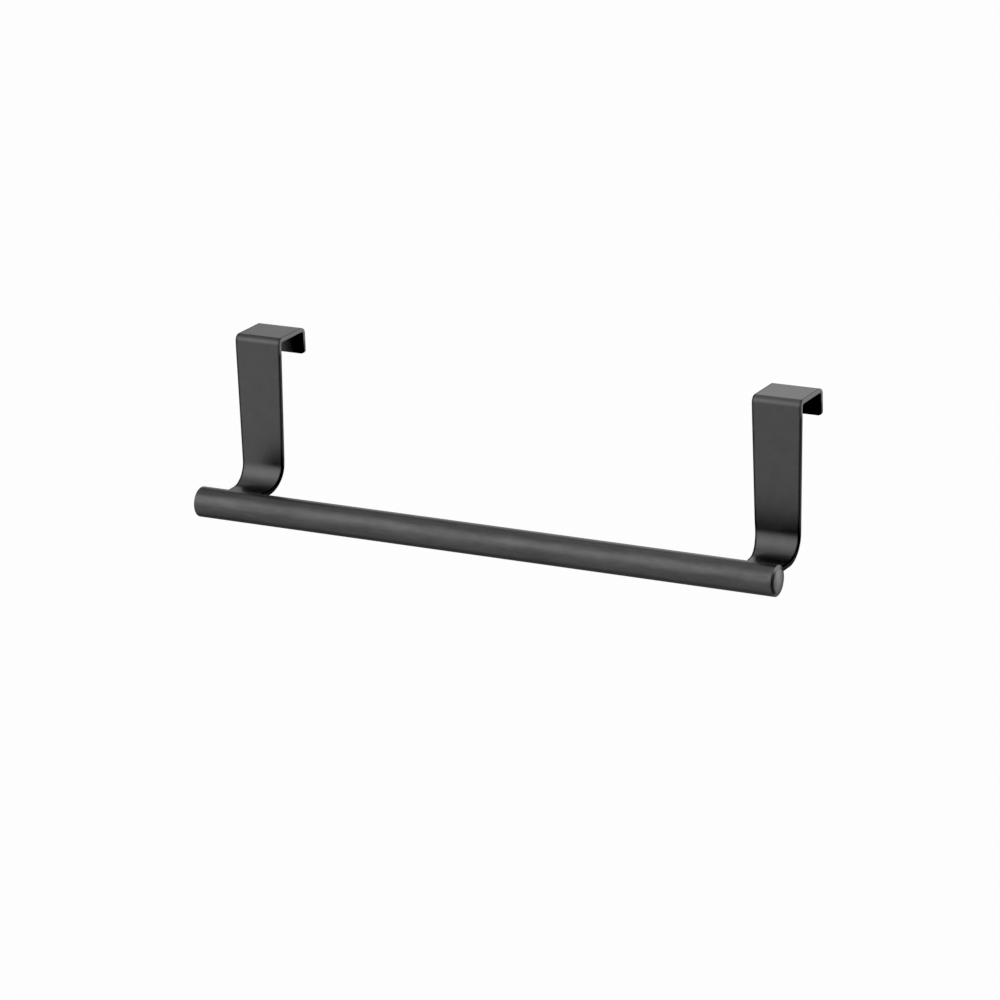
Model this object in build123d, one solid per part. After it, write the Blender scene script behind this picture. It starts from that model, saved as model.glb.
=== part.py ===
from build123d import *
import os
from math import cos, sin, radians, sqrt

os.makedirs("parts", exist_ok=True)

# ---------------------------------------------------------------- frame
# millimetres, +Z up. The origin is on the door's top front corner line, midway
# between the two hooks: Y = 0 is the door's outer face, Z = 0 is its top edge.
# +X runs along the bar, +Y goes through the door's thickness into the cabinet.

# ---------------------------------------------------------------- driving sizes
BAR_OD = 16.5            # outside diameter of the round bar
BAR_WALL = 1.2           # wall of the tube
BAR_LENGTH = 341.8       # overall, over both end plugs
BAR_TO_DOOR = 39.9       # bar axis in front of the door's face
BAR_DROP = 81.5          # bar axis below the door's top edge

SHEET = 2.4              # thickness of the bent strip
STRAP_SPACING = 305.4    # centre to centre of the two straps
STRAP_W_TOP = 27.6       # width of the lip, the top plate and the leg's upper end
STRAP_W_BEND = 25.3      # width where the lower bend starts
END_IN = 7.4             # centre line to the strip's inner side, measured at the bar's axis
END_OUT = 12.0           # centre line to its outer side there
DOOR_GAP = 23.4          # clear space between leg and lip
LIP_DROP = 12.5          # how far the lip reaches below the door's top edge
HOOK_R_IN = 1.2          # inner radius of the two upper bends
J_R_OUT = 14.2           # outer (lower) radius of the bend that turns to the bar
LIP_CORNER_R = 2.0       # rounding of the lip's two free corners
EDGE_R = 0.5             # softened edges of the strip, as deburred and coated

CAP_DISC = 3.7           # length of the plug's outer disc along the bar, over its dome
CAP_RIM_R = 0.7          # rounding of the plug's outer rim
CAP_DOME_R = 24.0        # the plug's outer face is domed
CAP_SPIGOT = 9.0         # length of the spigot inside the tube
CAP_SPIGOT_CLEAR = 0.05  # radial clearance of the spigot in the tube
CAP_BORE_R = 4.2         # hollow in the spigot, open inwards only
WELD_LEG = 1.8           # leg of the weld fillets along the strap's end

bar_r = BAR_OD / 2
bar_y = -BAR_TO_DOOR
bar_z = -BAR_DROP
hook_r_out = HOOK_R_IN + SHEET
j_r_in = J_R_OUT - SHEET
tube_half = BAR_LENGTH / 2 - CAP_DISC

# The strip's width is laid out against one measure that grows all the way down the leg,
# round the lower bend and out to the bar: q = (-y - z) / sqrt(2).
ROOT2 = sqrt(2.0)


def q_of(y, z):
    return (-y - z) / ROOT2


Q_TOP = q_of(-SHEET / 2, -3.6)                      # the taper starts
Q_BEND = q_of(-SHEET / 2, bar_z - SHEET / 2 + J_R_OUT)   # the lower bend starts
Q_IN = Q_BEND + 1.7                                 # the inner side turns in
Q_END = q_of(bar_y, bar_z)                          # at the bar's axis


# ---------------------------------------------------------------- tube
def x_cylinder(radius, x0, x1, y=bar_y, z=bar_z):
    """solid round bar along X between two stations"""
    plane = Plane(origin=(x0, y, z), x_dir=(0, 1, 0), z_dir=(1, 0, 0))
    return extrude(plane * Circle(radius), amount=x1 - x0)


bar_tube = x_cylinder(bar_r, -tube_half, tube_half) - x_cylinder(
    bar_r - BAR_WALL, -tube_half - 1, tube_half + 1
)


# ---------------------------------------------------------------- end plugs
def end_cap(side):
    """turned plug: a disc flush with the tube, a spigot inside it, hollow towards the bar.
    The outline is drawn in the plane of the axis and turned about it."""
    disc_in = 0.0                    # local: 0 is the tube's end, + is outwards
    spig_r = bar_r - BAR_WALL - CAP_SPIGOT_CLEAR
    chamf = 0.6
    # the rim's arc runs over smoothly into the dome, whose centre is on the axis
    rim_off = bar_r - CAP_RIM_R                       # radius of the rim arc's centre
    dome_x = CAP_DISC - CAP_DOME_R
    reach = CAP_DOME_R - CAP_RIM_R
    rim_x = dome_x + sqrt(reach**2 - rim_off**2)
    ux, ur = (rim_x - dome_x) / reach, rim_off / reach
    meet = (dome_x + CAP_DOME_R * ux, CAP_DOME_R * ur)
    # middles of the two arcs
    mx, mr = ux, ur + 1.0
    ml = sqrt(mx**2 + mr**2)
    rim_mid = (rim_x + CAP_RIM_R * mx / ml, rim_off + CAP_RIM_R * mr / ml)
    half_r = meet[1] / 2
    dome_mid = (dome_x + sqrt(CAP_DOME_R**2 - half_r**2), half_r)
    with BuildPart() as p:
        with BuildSketch(Plane.XY):
            with BuildLine():
                Polyline(
                    (-CAP_SPIGOT, CAP_BORE_R),
                    (-CAP_SPIGOT, spig_r - chamf),
                    (-CAP_SPIGOT + chamf, spig_r),
                    (disc_in, spig_r),
                    (disc_in, bar_r),
                    (rim_x, bar_r),
                )
                ThreePointArc((rim_x, bar_r), rim_mid, meet)
                ThreePointArc(meet, dome_mid, (CAP_DISC, 0))
                Polyline(
                    (CAP_DISC, 0),
                    (-1.0, 0),
                    (-1.0, CAP_BORE_R),
                    (-CAP_SPIGOT, CAP_BORE_R),
                )
            make_face()
        revolve(axis=Axis.X)
    cap = p.part
    if side < 0:
        cap = cap.mirror(Plane.YZ)
    return cap.moved(Location((side * tube_half, bar_y, bar_z)))


# ---------------------------------------------------------------- straps
def strap(side):
    """one strip of sheet, bent three times, drawn from the side (Y, Z) and given its width"""
    xc = side * STRAP_SPACING / 2
    t = SHEET
    ro, ri = hook_r_out, HOOK_R_IN
    lip_y = DOOR_GAP                      # inner face of the lip
    lip_z = -LIP_DROP
    jcy = -J_R_OUT                        # centre of the lower bend
    jcz = bar_z - t / 2 + J_R_OUT
    s = sin(radians(45))

    # outer line (sky side of the hook, room side of the leg), then back along the inner line
    outer_1 = (lip_y + t, lip_z)
    outer_2 = (lip_y + t, t - ro)
    outer_3 = (lip_y + t - ro, t)
    outer_4 = (-t + ro, t)
    outer_5 = (-t, t - ro)
    outer_6 = (-t, jcz)
    outer_7 = (jcy, jcz - j_r_in)
    outer_8 = (bar_y, jcz - j_r_in)
    inner_8 = (bar_y, jcz - J_R_OUT)
    inner_7 = (jcy, jcz - J_R_OUT)
    inner_6 = (0.0, jcz)
    inner_5 = (0.0, -ri)
    inner_4 = (ri, 0.0)
    inner_3 = (lip_y - ri, 0.0)
    inner_2 = (lip_y, -ri)
    inner_1 = (lip_y, lip_z)

    wide = STRAP_W_TOP + 4
    plane = Plane(origin=(xc - wide / 2, 0, 0), x_dir=(0, 1, 0), z_dir=(1, 0, 0))
    with BuildPart() as p:
        with BuildSketch(plane):
            with BuildLine():
                Line(outer_1, outer_2)
                ThreePointArc(outer_2, (lip_y + t - ro + ro * s, t - ro + ro * s), outer_3)
                Line(outer_3, outer_4)
                ThreePointArc(outer_4, (-t + ro - ro * s, t - ro + ro * s), outer_5)
                Line(outer_5, outer_6)
                ThreePointArc(outer_6, (jcy + j_r_in * s, jcz - j_r_in * s), outer_7)
                Line(outer_7, outer_8)
                Line(outer_8, inner_8)
                Line(inner_8, inner_7)
                ThreePointArc(inner_7, (jcy + J_R_OUT * s, jcz - J_R_OUT * s), inner_6)
                Line(inner_6, inner_5)
                ThreePointArc(inner_5, (ri - ri * s, -ri + ri * s), inner_4)
                Line(inner_4, inner_3)
                ThreePointArc(inner_3, (lip_y - ri + ri * s, -ri + ri * s), inner_2)
                Line(inner_2, inner_1)
                Line(inner_1, outer_1)
            make_face()
        extrude(amount=wide)
    profile = p.part

    # outline of the strip, seen along the diagonal between the leg and the part that runs
    # out to the bar: the leg narrows evenly, and past the lower bend the inner side
    # draws in towards the bar while the outer side runs on nearly straight
    wt, wb = STRAP_W_TOP / 2, STRAP_W_BEND / 2
    over = 4.0                                      # drawn on past the bar's axis
    slope_in = (END_IN - wb) / (Q_END - Q_IN)
    slope_out = (END_OUT - wb) / (Q_END - Q_BEND)
    inner = [(wt, -40.0), (wt, Q_TOP), (wb, Q_IN), (END_IN + slope_in * over, Q_END + over)]
    outer = [(wt, -40.0), (wt, Q_TOP), (wb, Q_BEND), (END_OUT + slope_out * over, Q_END + over)]
    pts = [(-side * w, -q) for w, q in inner] + [(side * w, -q) for w, q in reversed(outer)]
    shape = make_face(Polyline(*pts, pts[0]))
    turns = [
        v
        for v in shape.vertices()
        if min(abs(v.Y + Q_TOP), abs(v.Y + Q_BEND), abs(v.Y + Q_IN)) < 0.01
    ]
    shape = fillet(turns, 100)
    diagonal = Plane(origin=(xc, 0, 0), x_dir=(1, 0, 0), z_dir=(0, -1, 1))
    body = profile & extrude(diagonal * shape, amount=120, both=True)
    body = body.solids().sort_by(SortBy.VOLUME)[-1]

    # the lip's two free corners
    corners = [
        ed
        for ed in body.edges()
        if abs(ed.center().Z - lip_z) < 0.01 and abs((ed @ 0).X - (ed @ 1).X) < 1e-4
    ]
    body = fillet(corners, LIP_CORNER_R)

    # softened edges all round the strip, except at the end that meets the bar
    long_edges = []
    for ed in body.edges():
        c = ed.center()
        if c.Y < bar_y + 0.01:
            continue
        p0, p1 = ed @ 0, ed @ 1
        across = abs(p0.X - p1.X) > STRAP_W_BEND * 0.75         # bend lines over the width
        if across and abs(c.Z - lip_z) > 0.01:
            continue
        dx, dy, dz = p1.X - p0.X, p1.Y - p0.Y, p1.Z - p0.Z
        if abs(dx) < 1e-4 and ed.length < 2 * SHEET:            # lines through the thickness
            if abs(dy + dz) < 1e-3 or abs(dz) < 1e-3:
                if not (abs(dz) < 1e-3 and c.Z > -SHEET):
                    continue
        long_edges.append(ed)
    print("edges softened", len(long_edges), "of", len(body.edges()))
    body = fillet(long_edges, EDGE_R)

    # the end is shaped to the tube
    body = body - x_cylinder(bar_r, xc - 20, xc + 20)
    return body.solids().sort_by(SortBy.VOLUME)[-1]


# ---------------------------------------------------------------- welds
def weld(side):
    """two small fillets, above and below the strip's end, along its width"""
    xc = side * STRAP_SPACING / 2
    q = q_of(bar_y + bar_r, bar_z)
    run_in = END_IN + (END_IN - STRAP_W_BEND / 2) / (Q_END - Q_IN) * (q - Q_END) - 1.0
    run_out = END_OUT + (END_OUT - STRAP_W_BEND / 2) / (Q_END - Q_BEND) * (q - Q_END) - 1.0
    x0 = xc - (run_in if side > 0 else run_out)
    x1 = xc + (run_out if side > 0 else run_in)
    print("weld", side, round(x0, 2), round(x1, 2))
    solids = []
    for s in (-1, 1):
        z_face = bar_z + s * SHEET / 2
        y_hit = bar_y + sqrt(bar_r**2 - (SHEET / 2) ** 2)
        # corner between the strip's face and the tube: a concave bead seen from the end
        z_up = SHEET / 2 + WELD_LEG
        y_up = bar_y + sqrt(bar_r**2 - z_up**2)
        p_tube = (y_up, bar_z + s * z_up)
        p_strip = (y_hit + WELD_LEG, z_face)
        mid = (
            (p_tube[0] + p_strip[0]) / 2 - 0.12,
            (p_tube[1] + p_strip[1]) / 2 - s * 0.12,
        )
        inside = (bar_y + 2, z_face)
        plane = Plane(origin=(x0, 0, 0), x_dir=(0, 1, 0), z_dir=(1, 0, 0))
        with BuildPart() as w:
            with BuildSketch(plane):
                with BuildLine():
                    ThreePointArc(p_tube, mid, p_strip)
                    Line(p_strip, inside)
                    Line(inside, p_tube)
                make_face()
            extrude(amount=x1 - x0)
        bead = w.part - x_cylinder(bar_r, xc - 20, xc + 20)
        solids.append(bead.solids().sort_by(SortBy.VOLUME)[-1])
    return Compound(children=solids)


nodes = {
    "bar_tube": bar_tube,
    "left_end_cap": end_cap(-1),
    "right_end_cap": end_cap(1),
    "left_strap": strap(-1),
    "right_strap": strap(1),
    "left_weld": weld(-1),
    "right_weld": weld(1),
}

for name, shape in nodes.items():
    export_step(shape, f"parts/{name}.step")
    print(name, round(shape.volume, 1), shape.bounding_box())
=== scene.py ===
import math

import bmesh
import bpy
from mathutils import Matrix, Vector


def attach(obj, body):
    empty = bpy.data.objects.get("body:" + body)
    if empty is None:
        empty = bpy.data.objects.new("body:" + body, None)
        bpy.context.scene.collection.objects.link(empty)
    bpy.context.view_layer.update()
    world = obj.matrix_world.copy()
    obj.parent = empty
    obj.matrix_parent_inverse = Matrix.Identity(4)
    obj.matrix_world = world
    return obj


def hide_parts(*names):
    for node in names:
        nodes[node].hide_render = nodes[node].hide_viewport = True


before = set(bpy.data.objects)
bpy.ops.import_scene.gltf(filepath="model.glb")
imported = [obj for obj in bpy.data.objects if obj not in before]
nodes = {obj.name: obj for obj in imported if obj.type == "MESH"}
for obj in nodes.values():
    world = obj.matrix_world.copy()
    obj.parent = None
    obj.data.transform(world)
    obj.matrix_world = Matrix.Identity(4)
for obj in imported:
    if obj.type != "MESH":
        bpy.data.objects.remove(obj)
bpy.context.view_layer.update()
scene = bpy.context.scene

# ------------------------------------------------------------------ camera
# pinhole camera fitted to the outline in the photograph, in millimetres and radians
F_PX = 4405.12           # focal length in pixels of a 1000 pixel frame
DIST = 2300.80           # from the camera to the middle of the bar, along the view
AZ, EL, ROLL = 0.48440, 0.31160, -0.02720
MID_PX = (480.201, 539.901)           # where the middle of the bar falls in the frame
BAR_MID = Vector((0.0, -39.9, -81.5))

view_b = Vector((math.sin(AZ) * math.cos(EL), -math.cos(AZ) * math.cos(EL), math.sin(EL)))
right0 = Vector((math.cos(AZ), math.sin(AZ), 0.0))
up0 = view_b.cross(right0)
cr, sr = math.cos(ROLL), math.sin(ROLL)
right = cr * right0 + sr * up0
up = -sr * right0 + cr * up0
ox = (MID_PX[0] - 500.0) / F_PX * DIST
oy = -(MID_PX[1] - 500.0) / F_PX * DIST
cam_pos = (BAR_MID - ox * right - oy * up + DIST * view_b) / 1000.0

cam_data = bpy.data.cameras.new("camera")
cam_data.sensor_fit = "HORIZONTAL"
cam_data.sensor_width = 36.0
cam_data.lens = F_PX / 1000.0 * 36.0
cam_data.clip_start = 0.05
cam_data.clip_end = 60.0
camera = bpy.data.objects.new("camera", cam_data)
scene.collection.objects.link(camera)
rot = Matrix((right, up, view_b)).transposed()
camera.matrix_world = Matrix.Translation(cam_pos) @ rot.to_4x4()
scene.camera = camera

# ------------------------------------------------------------------ colour management
scene.view_settings.view_transform = "Standard"
scene.view_settings.look = "None"
scene.view_settings.exposure = 0.0
scene.view_settings.gamma = 1.0


# ------------------------------------------------------------------ material
def powder_coat(name, base=0.0025, rough=0.32, bump=1.0, stretch=1.0, haze=0.02, border=0.0, ring=0.0):
    """satin black powder coat: near black, soft gloss, fine orange peel, thinner over the
    edges; stretch draws the hazy patches out along X, haze is how strong they are, and
    border is how strongly a flat matte black paints dark lines of shade along the strip's
    sheared edges, and ring the same for the corner round a plug's face"""
    mat = bpy.data.materials.new(name)
    mat.use_nodes = True
    nt = mat.node_tree
    nt.nodes.clear()
    out = nt.nodes.new("ShaderNodeOutputMaterial")
    bsdf = nt.nodes.new("ShaderNodeBsdfPrincipled")
    nt.links.new(bsdf.outputs["BSDF"], out.inputs["Surface"])
    bsdf.inputs["IOR"].default_value = 1.5
    bsdf.inputs["Metallic"].default_value = 0.0

    tc = nt.nodes.new("ShaderNodeTexCoord")
    obj = tc.outputs["Object"]

    def noise(scale, detail, rough_, dist=0.0):
        n = nt.nodes.new("ShaderNodeTexNoise")
        n.noise_dimensions = "3D"
        n.inputs["Scale"].default_value = scale
        n.inputs["Detail"].default_value = detail
        n.inputs["Roughness"].default_value = rough_
        n.inputs["Distortion"].default_value = dist
        nt.links.new(obj, n.inputs["Vector"])
        return n.outputs["Fac"]

    def ramp(src, stops):
        r = nt.nodes.new("ShaderNodeValToRGB")
        els = r.color_ramp.elements
        while len(els) > 1:
            els.remove(els[-1])
        els[0].position, els[0].color = stops[0][0], (stops[0][1],) * 3 + (1,)
        for pos, v in stops[1:]:
            e = els.new(pos)
            e.color = (v,) * 3 + (1,)
        nt.links.new(src, r.inputs["Fac"])
        return r.outputs["Color"]

    def math_node(op, a, b):
        m = nt.nodes.new("ShaderNodeMath")
        m.operation = op
        for i, v in enumerate((a, b)):
            if isinstance(v, (int, float)):
                m.inputs[i].default_value = v
            else:
                nt.links.new(v, m.inputs[i])
        return m.outputs[0]

    # hazy patches in the gloss, drawn out along the piece
    mp = nt.nodes.new("ShaderNodeMapping")
    mp.inputs["Scale"].default_value = (1.0 / stretch, 1.0, 1.0)
    nt.links.new(obj, mp.inputs["Vector"])

    def patches(scale, detail, rough_):
        n = nt.nodes.new("ShaderNodeTexNoise")
        n.noise_dimensions = "3D"
        n.inputs["Scale"].default_value = scale
        n.inputs["Detail"].default_value = detail
        n.inputs["Roughness"].default_value = rough_
        nt.links.new(mp.outputs["Vector"], n.inputs["Vector"])
        return n.outputs["Fac"]

    haze_sum = math_node("ADD", math_node("MULTIPLY", patches(150.0, 3.0, 0.6), 0.6), math_node("MULTIPLY", patches(520.0, 2.0, 0.55), 0.4))
    gloss = ramp(haze_sum, [(0.36, 0.5 - haze), (0.64, 0.5 + haze)])
    nt.links.new(gloss, bsdf.inputs["Specular IOR Level"])

    # broad, faint clouding and fine pigment grain
    cloud = noise(22.0, 4.0, 0.55)
    grain = noise(2600.0, 3.0, 0.6)
    peel = noise(620.0, 2.0, 0.5, 0.3)
    peel_wide = noise(170.0, 2.0, 0.5)

    # edges: where the normal of a softened corner leaves the flat normal
    bev = nt.nodes.new("ShaderNodeBevel")
    bev.samples = 4
    bev.inputs["Radius"].default_value = 0.0007
    geo = nt.nodes.new("ShaderNodeNewGeometry")
    dot = nt.nodes.new("ShaderNodeVectorMath")
    dot.operation = "DOT_PRODUCT"
    nt.links.new(bev.outputs["Normal"], dot.inputs[0])
    nt.links.new(geo.outputs["Normal"], dot.inputs[1])
    edge = ramp(dot.outputs["Value"], [(0.80, 1.0), (0.985, 0.25), (1.0, 0.0)])

    # colour
    tone = ramp(cloud, [(0.30, base * 0.82), (0.70, base * 1.18)])
    speck = ramp(grain, [(0.35, 0.85), (0.65, 1.15)])
    mix = nt.nodes.new("ShaderNodeMix")
    mix.data_type = "RGBA"
    mix.blend_type = "MULTIPLY"
    mix.inputs["Factor"].default_value = 1.0
    nt.links.new(tone, mix.inputs["A"])
    nt.links.new(speck, mix.inputs["B"])
    worn = nt.nodes.new("ShaderNodeMix")
    worn.data_type = "RGBA"
    worn.inputs["B"].default_value = (base * 2.0, base * 2.0, base * 2.05, 1)
    nt.links.new(math_node("MULTIPLY", edge, 0.6), worn.inputs["Factor"])
    nt.links.new(mix.outputs["Result"], worn.inputs["A"])
    nt.links.new(worn.outputs["Result"], bsdf.inputs["Base Color"])

    # roughness
    r_cloud = ramp(cloud, [(0.30, rough - 0.025), (0.70, rough + 0.03)])
    r_grain = math_node("MULTIPLY", math_node("SUBTRACT", grain, 0.5), 0.06)
    r_sum = math_node("ADD", r_cloud, r_grain)
    r_edge = math_node("MULTIPLY", edge, -0.04)
    nt.links.new(math_node("ADD", r_sum, r_edge), bsdf.inputs["Roughness"])

    # relief: wide and fine orange peel, and pigment grain
    h1 = math_node("MULTIPLY", peel_wide, 0.55)
    h2 = math_node("MULTIPLY", peel, 0.30)
    h3 = math_node("MULTIPLY", grain, 0.05)
    height = math_node("ADD", math_node("ADD", h1, h2), h3)
    bmp = nt.nodes.new("ShaderNodeBump")
    bmp.inputs["Strength"].default_value = 1.0
    bmp.inputs["Distance"].default_value = 0.00001 * bump
    nt.links.new(height, bmp.inputs["Height"])
    nt.links.new(bmp.outputs["Normal"], bsdf.inputs["Normal"])

    if border or ring:
        sx = nt.nodes.new("ShaderNodeSeparateXYZ")
        nt.links.new(obj, sx.inputs["Vector"])

        def steps(src, lo_, hi_, a, b):
            m = nt.nodes.new("ShaderNodeMapRange")
            m.interpolation_type = "SMOOTHSTEP"
            for key, v in (("From Min", lo_), ("From Max", hi_), ("To Min", a), ("To Max", b)):
                m.inputs[key].default_value = v
            nt.links.new(src, m.inputs["Value"])
            return m.outputs["Result"]

        def slide(src, lo_, hi_, a, b):
            m = nt.nodes.new("ShaderNodeMapRange")
            for key, v in (("From Min", lo_), ("From Max", hi_), ("To Min", a), ("To Max", b)):
                m.inputs[key].default_value = v
            nt.links.new(src, m.inputs["Value"])
            return m.outputs["Result"]

    if border:
        # distance in from the strip's sides: the half widths fall with a measure that grows
        # down the leg, round the lower bend and out to the bar
        along = math_node("MULTIPLY", math_node("ADD", sx.outputs["Y"], sx.outputs["Z"]), -0.7071068)
        leg_half = slide(along, 0.00339, 0.04928, 0.0138, 0.01265)
        half_in = math_node("SUBTRACT", leg_half, slide(along, 0.05098, 0.08584, 0.0, 0.00525))
        half_out = math_node("SUBTRACT", leg_half, slide(along, 0.04928, 0.08584, 0.0, 0.00065))
        off = math_node("SUBTRACT", math_node("ABSOLUTE", sx.outputs["X"], 0.0), 0.1527)
        inward = math_node("MINIMUM", math_node("SUBTRACT", half_out, off), math_node("ADD", half_in, off))
        ragged = math_node("ADD", inward, math_node("MULTIPLY", math_node("SUBTRACT", peel_wide, 0.5), 0.0004))
        near = steps(ragged, 0.0005, 0.0016, 1.0, 0.0)
        # the sheared face itself is left out of this painted shade on the plate over the door
        face = steps(inward, 0.00020, 0.00070, 1.0, 0.0)
        high = steps(sx.outputs["Z"], -0.0075, -0.0035, 0.0, 1.0)
        keep = math_node("SUBTRACT", 1.0, math_node("MULTIPLY", face, high))
        # and the painted shade is heaviest round the lower bend
        low = steps(sx.outputs["Z"], -0.0720, -0.0600, 0.24, 0.0)
        # dark lines of painted shade along the strip's sides, heaviest round the lower bend
        painted_shade_amount = math_node("MULTIPLY", math_node("MULTIPLY", near, keep), math_node("ADD", low, border))
    if ring:
        # painted shade at the corner between the plug's side and its domed face, strongest in front and
        # behind: it paints the dark line of shade beside the plug's face
        end = math_node("ADD", math_node("ABSOLUTE", sx.outputs["X"], 0.0), math_node("MULTIPLY", math_node("SUBTRACT", peel_wide, 0.5), 0.0002))
        painted_shade_amount = math_node("MULTIPLY", steps(end, 0.16925, 0.16955, 0.0, ring), steps(end, 0.16995, 0.17020, 1.0, 0.0))
        tall = math_node("ABSOLUTE", math_node("ADD", sx.outputs["Z"], 0.0815), 0.0)
        painted_shade_amount = math_node("MULTIPLY", painted_shade_amount, steps(tall, 0.0044, 0.0074, 1.0, 0.15))
    if border or ring:
        # the painted shade: a flat matte black mixed in over the glossy coat by the amount above
        shade_matte = nt.nodes.new("ShaderNodeBsdfDiffuse")
        shade_matte.inputs["Roughness"].default_value = 0.6
        nt.links.new(worn.outputs["Result"], shade_matte.inputs["Color"])
        mixed = nt.nodes.new("ShaderNodeMixShader")
        nt.links.new(painted_shade_amount, mixed.inputs[0])
        nt.links.new(bsdf.outputs["BSDF"], mixed.inputs[1])
        nt.links.new(shade_matte.outputs["BSDF"], mixed.inputs[2])
        nt.links.new(mixed.outputs["Shader"], out.inputs["Surface"])
    return mat


coat = powder_coat("black_powder_coat", haze=0.06)
coat_strap = powder_coat("black_powder_coat_strap", haze=0.025, border=0.62)
coat_tube = powder_coat("black_powder_coat_tube", stretch=4.0, haze=0.075)
coat_plug = powder_coat("black_powder_coat_plug", haze=0.06, ring=0.72)
for name, ob in nodes.items():
    ob.data.materials.clear()
    if name == "bar_tube":
        ob.data.materials.append(coat_tube)
    elif name.endswith("strap"):
        ob.data.materials.append(coat_strap)
    else:
        ob.data.materials.append(coat_plug if name.endswith("cap") else coat)

# ------------------------------------------------------------------ weld beads
# two beads at the end of each strap, above and below the strip: a run of overlapping
# puddles, each a shallow crescent, drawn in mesh in place of the plain fillets
BAR_Y, BAR_Z, BAR_R = -39.9, -81.5, 8.25
SHEET, LEG, BEAD_HALF, BEAD_X = 2.4, 1.8, 9.19, 154.61


def weld_beads(side):
    me = bpy.data.meshes.new(f"{'left' if side < 0 else 'right'}_weld_beads")
    bm = bmesh.new()
    y_hit = BAR_Y + math.sqrt(BAR_R**2 - (SHEET / 2) ** 2)
    nx, nv = 190, 14
    for t in (-1, 1):
        z_face = BAR_Z + t * SHEET / 2
        z_up = SHEET / 2 + LEG
        tube = (BAR_Y + math.sqrt(BAR_R**2 - z_up**2), BAR_Z + t * z_up)
        strip = (y_hit + LEG, z_face)
        corner = (y_hit - 0.06, z_face - t * 0.06)
        out = (tube[1] - strip[1], strip[0] - tube[0])
        if out[0] * (tube[0] + strip[0] - 2 * corner[0]) + out[1] * (tube[1] + strip[1] - 2 * corner[1]) < 0:
            out = (-out[0], -out[1])
        ln = math.hypot(*out)
        out = (out[0] / ln, out[1] / ln)
        rows = []
        for i in range(nx + 1):
            x = -BEAD_HALF + 2 * BEAD_HALF * i / nx
            end = max(0.0, (abs(x) - (BEAD_HALF - 1.1)) / 1.1)
            grow = math.sqrt(max(0.0, 1 - end * end)) * 0.985 + 0.015
            # the run wanders a little in width
            grow *= 1.0 + 0.035 * math.sin(0.9 * x + side) + 0.025 * math.sin(2.3 * x + 2 * t)
            row = []
            for k in range(nv + 1):
                v = k / nv
                y = tube[0] + (strip[0] - tube[0]) * v
                z = tube[1] + (strip[1] - tube[1]) * v
                bow = 4 * v * (1 - v)
                phase = (x / 1.25 + 0.42 * bow + 0.05 * math.sin(3.1 * x)) % 1.0
                puddle = math.sqrt(max(0.0, 1 - (2 * phase - 1) ** 2 * 0.9))
                lift = bow * (-0.06 + 0.26 * puddle)
                y += out[0] * lift
                z += out[1] * lift
                y = corner[0] + (y - corner[0]) * grow
                z = corner[1] + (z - corner[1]) * grow
                row.append(bm.verts.new(((side * BEAD_X + x) / 1000, y / 1000, z / 1000)))
            row.append(bm.verts.new(((side * BEAD_X + x) / 1000, corner[0] / 1000, corner[1] / 1000)))
            rows.append(row)
        m = nv + 2
        for a, b in zip(rows, rows[1:]):
            for k in range(m):
                bm.faces.new((a[k], a[(k + 1) % m], b[(k + 1) % m], b[k]))
        bm.faces.new(rows[0][::-1])
        bm.faces.new(rows[-1])
    bmesh.ops.recalc_face_normals(bm, faces=bm.faces)
    for f in bm.faces:
        f.smooth = len(f.verts) == 4
    bm.to_mesh(me)
    bm.free()
    ob = bpy.data.objects.new(me.name, me)
    scene.collection.objects.link(ob)
    ob.data.materials.append(coat)
    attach(ob, "root")
    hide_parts("left_weld" if side < 0 else "right_weld")
    return ob


for side in (-1, 1):
    weld_beads(side)

# ------------------------------------------------------------------ floor
# plain pale floor that runs up into a wall and over the top in one sweep, so that
# every side of the piece is seen against it
FLOOR_Z = -1.10
section = [(0.0, FLOOR_Z), (1.5, FLOOR_Z), (3.0, FLOOR_Z), (4.5, FLOOR_Z), (6.0, FLOOR_Z)]
for k in range(1, 9):
    a = math.pi / 2 * k / 8
    section.append((6.0 + 2.0 * math.sin(a), FLOOR_Z + 2.0 * (1 - math.cos(a))))
for k in range(1, 13):
    a = math.pi / 2 * k / 12
    section.append((8.0 * math.cos(a), FLOOR_Z + 2.0 + 7.0 * math.sin(a)))
N = 72
bm = bmesh.new()
rings = []
for r, z in section:
    if r < 1e-6:
        rings.append([bm.verts.new((0, 0, z))])
    else:
        rings.append([bm.verts.new((r * math.cos(2 * math.pi * i / N), r * math.sin(2 * math.pi * i / N), z)) for i in range(N)])
for r0, r1 in zip(rings, rings[1:]):
    for i in range(N):
        j = (i + 1) % N
        if len(r0) == 1:
            bm.faces.new((r0[0], r1[i], r1[j]))
        elif len(r1) == 1:
            bm.faces.new((r0[i], r1[0], r0[j]))
        else:
            bm.faces.new((r0[i], r1[i], r1[j], r0[j]))
for f in bm.faces:
    f.smooth = True
me = bpy.data.meshes.new("floor")
bm.to_mesh(me)
bm.free()
floor = bpy.data.objects.new("floor", me)
scene.collection.objects.link(floor)
floor.visible_glossy = False
floor.visible_diffuse = False
floor.visible_shadow = False
fm = bpy.data.materials.new("floor_pale")
fm.use_nodes = True
fnt = fm.node_tree
fnt.nodes.clear()
fout = fnt.nodes.new("ShaderNodeOutputMaterial")
fb = fnt.nodes.new("ShaderNodeEmission")
fb.inputs["Color"].default_value = (1.0, 1.0, 0.998, 1)
fb.inputs["Strength"].default_value = 0.984
fnt.links.new(fb.outputs["Emission"], fout.inputs["Surface"])
floor.data.materials.append(fm)

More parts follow.
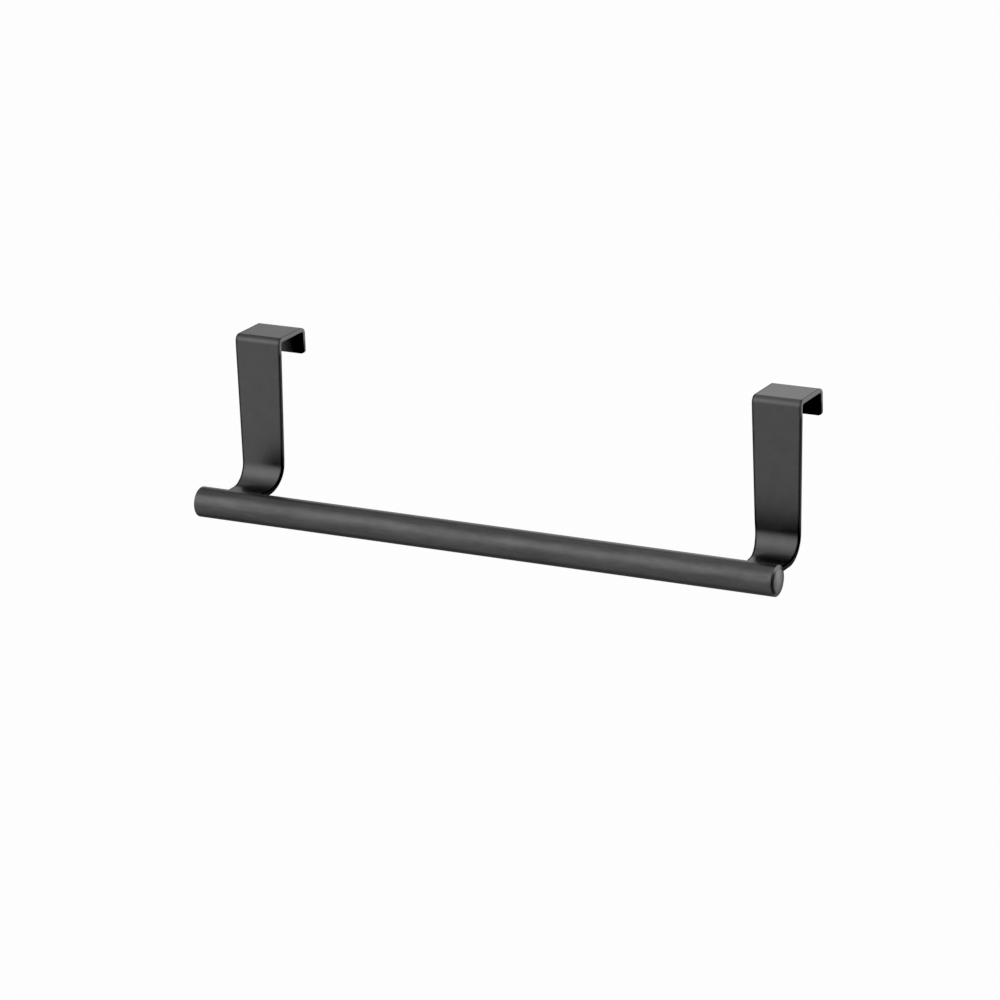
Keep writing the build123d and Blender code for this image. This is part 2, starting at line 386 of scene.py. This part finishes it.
# ------------------------------------------------------------------ studio light
# a large soft studio, given as a smooth function of direction: one row of levels for
# each of eight values of X, every level an angle about the X axis (0 to the front of
# the piece, 90 straight up, 180 to the back, -90 straight down)
STUDIO = {
    -0.80: [0.12, 0.12, 0.20, 0.50, 1.30, 2.40, 3.06, 2.61, 0.70, 0.20, 0.15, 0.12],
    -0.45: [
        0.22, 0.10, 0.15, 0.25, 0.22, 0.22, 0.66, 1.32, 1.38, 1.83, 1.96, 2.20,
        3.24, 4.19, 4.60, 4.07, 2.76, 1.55, 1.15, 1.20, 0.42, 0.15, 1.45, 0.55,
    ],
    -0.15: [0.34, 0.32, 0.60, 1.05, 1.69, 1.42, 2.36, 2.73, 3.20, 3.20, 2.44, 2.11],
    0.15: [0.22, 0.35, 0.90, 1.20, 1.47, 1.46, 1.66, 1.79, 1.80, 1.89, 1.84, 1.69],
    0.45: [1.95, 0.90, 0.95, 0.90, 0.90, 1.10, 1.26, 1.31, 1.33, 1.50, 1.60, 1.95],
    0.62: [3.70, 0.60, 0.80, 1.10, 1.00, 0.95, 1.00, 1.10, 1.10, 3.00, 4.20, 3.60],
    0.86: [1.30, 0.70, 1.80, 2.40, 1.60, 0.20, 0.08, 0.10, 0.90, 4.60, 5.60, 4.60],
    1.00: [0.10, 0.70, 2.60, 3.00, 2.40, 0.40, 0.10, 0.20, 1.00, 1.80, 1.40, 0.25],
}
TOP = 6.0

world = bpy.data.worlds.new("studio")
scene.world = world
world.use_nodes = True
wnt = world.node_tree
wnt.nodes.clear()
wout = wnt.nodes.new("ShaderNodeOutputWorld")
bg = wnt.nodes.new("ShaderNodeBackground")
wnt.links.new(bg.outputs["Background"], wout.inputs["Surface"])
wtc = wnt.nodes.new("ShaderNodeTexCoord")
sep = wnt.nodes.new("ShaderNodeSeparateXYZ")
wnt.links.new(wtc.outputs["Generated"], sep.inputs["Vector"])


def wmath(op, *args, clamp=False):
    m = wnt.nodes.new("ShaderNodeMath")
    m.operation = op
    m.use_clamp = clamp
    for i, v in enumerate(args):
        if isinstance(v, (int, float)):
            m.inputs[i].default_value = v
        else:
            wnt.links.new(v, m.inputs[i])
    return m.outputs[0]


turn = wmath("ARCTAN2", sep.outputs["Z"], wmath("MULTIPLY", sep.outputs["Y"], -1.0))
turn = wmath("MULTIPLY_ADD", turn, 0.5 / math.pi, 0.5)


def arc(levels):
    """level against angle, straight between the middles of equal steps, joined at the back"""
    r = wnt.nodes.new("ShaderNodeValToRGB")
    r.color_ramp.interpolation = "LINEAR"
    els = r.color_ramp.elements
    while len(els) > 1:
        els.remove(els[-1])
    n = len(levels)
    join = (levels[0] + levels[-1]) / 2
    stops = [(0.0, join)] + [((k + 0.5) / n, v) for k, v in enumerate(levels)] + [(1.0, join)]
    for i, (p, v) in enumerate(stops):
        e = els[0] if i == 0 else els.new(p)
        e.position = p
        e.color = (v / TOP,) * 3 + (1,)
    wnt.links.new(turn, r.inputs["Fac"])
    return r.outputs["Color"]


centres = sorted(STUDIO)
level = arc(STUDIO[centres[0]])
for x0, x1 in zip(centres, centres[1:]):
    step = wmath("DIVIDE", wmath("SUBTRACT", sep.outputs["X"], x0), x1 - x0, clamp=True)
    mx = wnt.nodes.new("ShaderNodeMix")
    mx.data_type = "RGBA"
    wnt.links.new(step, mx.inputs["Factor"])
    wnt.links.new(level, mx.inputs["A"])
    wnt.links.new(arc(STUDIO[x1]), mx.inputs["B"])
    level = mx.outputs["Result"]
wnt.links.new(level, bg.inputs["Color"])
bg.inputs["Strength"].default_value = TOP

# the picture's black point: the deepest shades are closed up
vs = scene.view_settings
vs.use_curve_mapping = True
vs.curve_mapping.black_level = (0.0165, 0.0165, 0.0165)
vs.curve_mapping.white_level = (1.0, 1.0, 1.0)
vs.curve_mapping.update()
